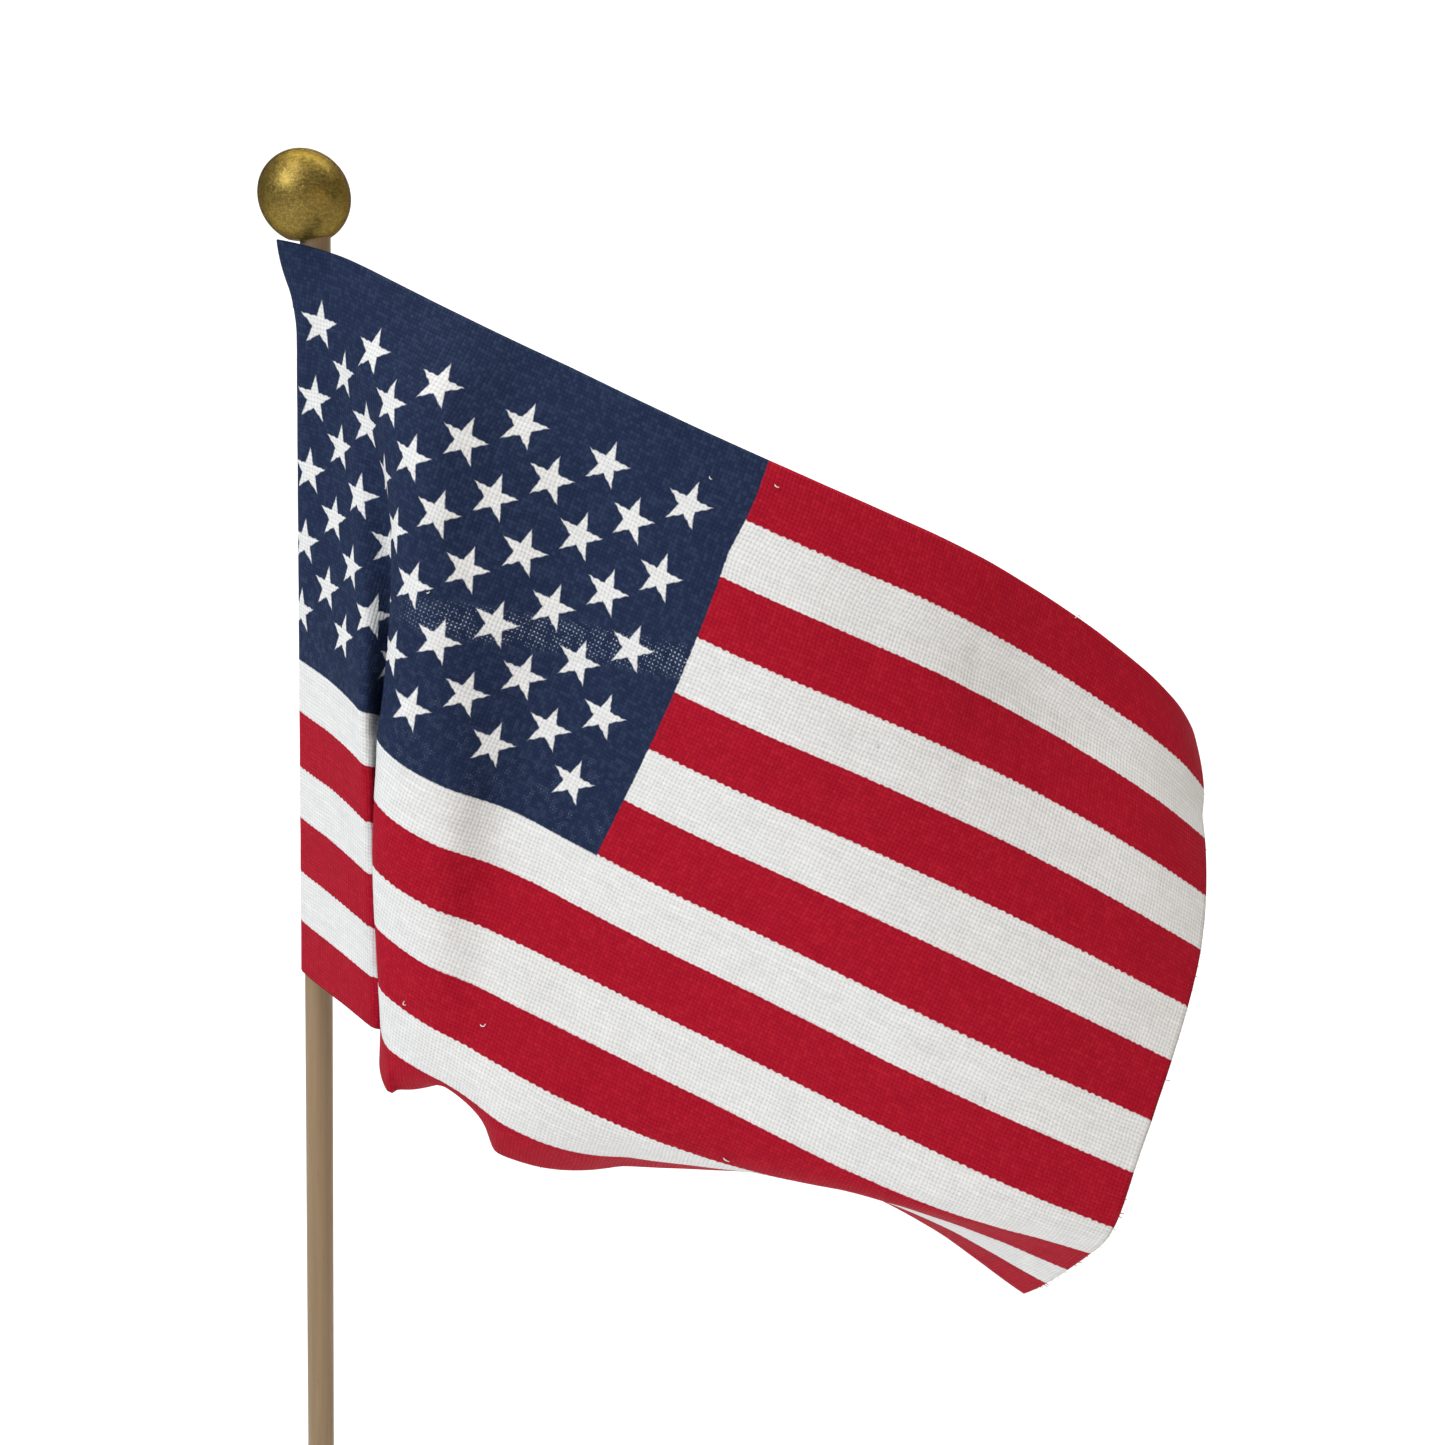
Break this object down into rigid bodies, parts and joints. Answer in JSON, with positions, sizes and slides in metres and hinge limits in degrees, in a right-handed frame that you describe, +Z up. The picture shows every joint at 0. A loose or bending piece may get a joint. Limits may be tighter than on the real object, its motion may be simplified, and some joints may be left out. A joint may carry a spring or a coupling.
{
  "type": "desk flag stand",
  "caption": "Small printed cotton flag with striped field and starred canton, on a wooden staff with a gilt ball, standing in a weighted round base.",
  "frame": {"origin": "centre of the felt pad's resting face, on the staff's axis", "axes": "+Z up along the staff to the ball; +X from the staff towards the flag's fly end; -Y is the flag's front, with the canton at upper left"},
  "size_m": [0.1542, 0.0628, 0.2642],
  "materials": {
    "base_plastic": "moulded, semi-gloss black",
    "ballast_steel": "stamped, bare",
    "pad_felt": "pressed felt",
    "cup_brass": "spun, satin",
    "staff_wood": "bare birch dowel",
    "ball_gilt_wood": "gold painted, satin",
    "flag_cotton": "plain-weave cotton, printed red, white and navy",
    "staple_wire": "bright fine wire"
  },
  "bodies": {
    "base": {"base_shell": "base_plastic", "base_weight": "ballast_steel", "base_pad": "pad_felt"},
    "socket": {"socket_cup": "cup_brass"},
    "flag": {"staff": "staff_wood", "finial_ball": "ball_gilt_wood", "flag_cloth": "flag_cotton", "hoist_staples": "staple_wire"}
  },
  "joints": [
    {"name": "staff_turn", "type": "hinge", "parent": "base", "child": "socket", "pos_m": [0, 0, 0.02], "axis": [0, 0, 1], "continuous": true},
    {"name": "staff_lift", "type": "slide", "parent": "socket", "child": "flag", "axis": [0, 0, 1], "range_m": [0, 0.015]}
  ]
}
